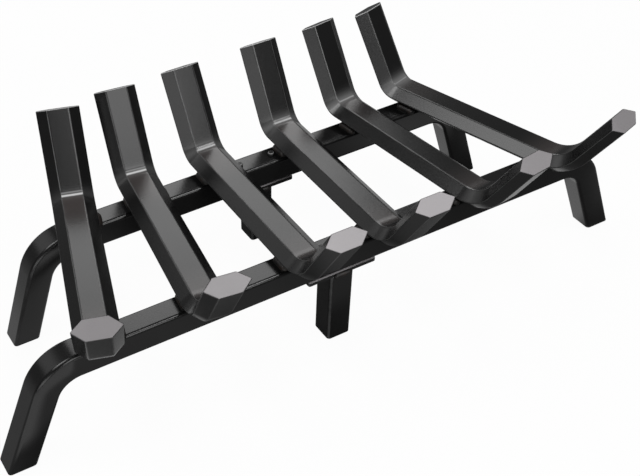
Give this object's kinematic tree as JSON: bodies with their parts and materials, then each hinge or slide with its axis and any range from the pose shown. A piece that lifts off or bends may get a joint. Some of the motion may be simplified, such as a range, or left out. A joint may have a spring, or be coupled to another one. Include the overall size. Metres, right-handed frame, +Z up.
{
  "type": "fireplace log grate",
  "caption": "Free-standing steel log grate: hexagonal bars with upturned ends, fanned across two square rails with splayed legs and bolted centre legs.",
  "frame": {"origin": "on the floor, under the middle of the grate's width and depth", "axes": "+X along the rails to the right, seen from the front; +Y to the back of the hearth; +Z up"},
  "size_m": [0.692, 0.3114, 0.1974],
  "materials": {
    "coated_steel": "satin black heat-proof coating",
    "weld_steel": "coated weld bead, smooth",
    "bolt_steel": "black oxide"
  },
  "bodies": {
    "root": {"bar_1": "coated_steel", "bar_2": "coated_steel", "bar_3": "coated_steel", "bar_4": "coated_steel", "bar_5": "coated_steel", "bar_6": "coated_steel", "bar_1_welds": "weld_steel", "bar_2_welds": "weld_steel", "bar_3_welds": "weld_steel", "bar_4_welds": "weld_steel", "bar_5_welds": "weld_steel", "bar_6_welds": "weld_steel", "front_rail": "coated_steel", "rear_rail": "coated_steel", "front_centre_leg": "coated_steel", "rear_centre_leg": "coated_steel", "front_leg_plate": "coated_steel", "rear_leg_plate": "coated_steel", "front_leg_weld": "weld_steel", "rear_leg_weld": "weld_steel", "front_leg_bolts": "bolt_steel", "rear_leg_bolts": "bolt_steel"}
  },
  "joints": []
}
